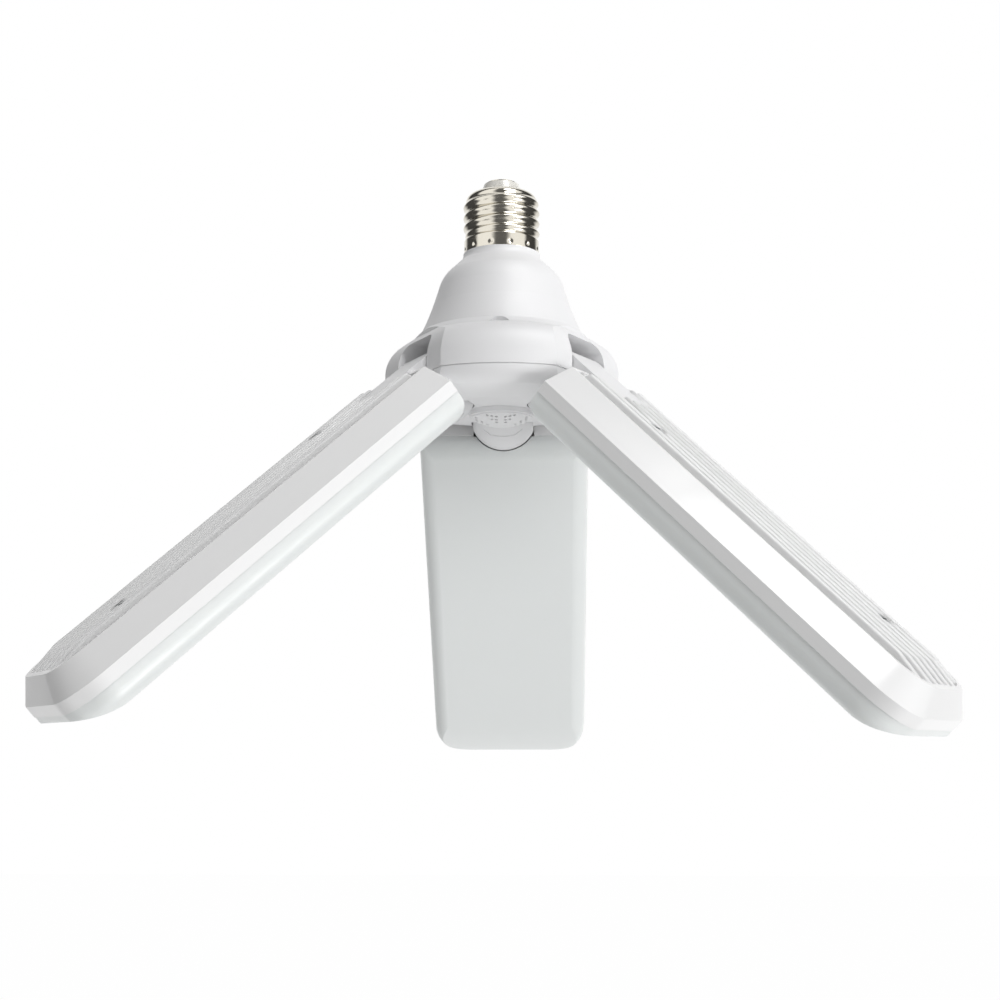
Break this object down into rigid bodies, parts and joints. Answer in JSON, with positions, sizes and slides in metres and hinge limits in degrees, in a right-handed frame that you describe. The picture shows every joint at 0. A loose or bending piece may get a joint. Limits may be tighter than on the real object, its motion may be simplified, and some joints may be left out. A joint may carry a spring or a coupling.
{
  "type": "folding garage ceiling light",
  "caption": "Screw-in LED garage light: a tapered driver housing on a screw cap, and long light panels that fold down on friction hinges round a hub.",
  "frame": {"origin": "centre of the screw cap's lower edge, on the lamp's axis, where the cap meets the housing", "axes": "+Z along the lamp's axis towards the cap's contact, +Y towards the rear panel; the left panel lies at 210 degrees and the right panel at 330 degrees round Z from +X"},
  "size_m": [0.2768, 0.2409, 0.1928],
  "materials": {
    "nickel_plate": "bright nickel plating",
    "cap_ceramic": "glazed white insulator",
    "contact_brass": "tinned contact",
    "white_housing": "fine satin moulding",
    "driver_laminate": "green circuit laminate",
    "transformer_tape": "yellow winding tape",
    "capacitor_sleeve": "shrunk sleeve",
    "driver_black": "moulded epoxy",
    "lead_insulation": "silicone lead cover",
    "screw_steel": "zinc-plated",
    "pin_steel": "ground",
    "washer_nylon": "nylon",
    "white_frame": "white powder coat",
    "led_laminate": "white solder mask on metal core",
    "led_phosphor": "phosphor lens",
    "milky_diffuser": "milky frosted moulding",
    "white_knuckle": "fine satin moulding"
  },
  "bodies": {
    "hub": {"cap_shell": "nickel_plate", "cap_insulator": "cap_ceramic", "cap_contact": "contact_brass", "driver_housing": "white_housing", "hub_ring": "white_housing", "hub_base": "white_housing", "vent_cap": "white_housing", "driver_board": "driver_laminate", "driver_transformer": "transformer_tape", "driver_capacitor": "capacitor_sleeve", "driver_chip": "driver_black", "input_leads": "lead_insulation", "output_leads": "lead_insulation", "hub_screws": "screw_steel", "housing_screws": "screw_steel", "hinge_pins": "pin_steel", "friction_washers": "washer_nylon"},
    "panel_rear": {"panel_frame_rear": "white_frame", "led_board_rear": "led_laminate", "leds_rear": "led_phosphor", "diffuser_rear": "milky_diffuser", "knuckle_rear": "white_knuckle", "knuckle_screws_rear": "screw_steel", "panel_screws_rear": "screw_steel", "panel_lead_rear": "lead_insulation"},
    "panel_left": {"panel_frame_left": "white_frame", "led_board_left": "led_laminate", "leds_left": "led_phosphor", "diffuser_left": "milky_diffuser", "knuckle_left": "white_knuckle", "knuckle_screws_left": "screw_steel", "panel_screws_left": "screw_steel", "panel_lead_left": "lead_insulation"},
    "panel_right": {"panel_frame_right": "white_frame", "led_board_right": "led_laminate", "leds_right": "led_phosphor", "diffuser_right": "milky_diffuser", "knuckle_right": "white_knuckle", "knuckle_screws_right": "screw_steel", "panel_screws_right": "screw_steel", "panel_lead_right": "lead_insulation"}
  },
  "joints": [
    {"name": "fold_rear", "type": "hinge", "parent": "hub", "child": "panel_rear", "pos_m": [0, 0.0262, -0.046], "axis": [-1, 0, 0], "range_deg": [-45.15, 40.85]},
    {"name": "fold_left", "type": "hinge", "parent": "hub", "child": "panel_left", "pos_m": [-0.02269, -0.0131, -0.046], "axis": [0.5, -0.866, 0], "range_deg": [-41.3, 44.7]},
    {"name": "fold_right", "type": "hinge", "parent": "hub", "child": "panel_right", "pos_m": [0.02269, -0.0131, -0.046], "axis": [0.5, 0.866, 0], "range_deg": [-43.2, 42.8]}
  ]
}
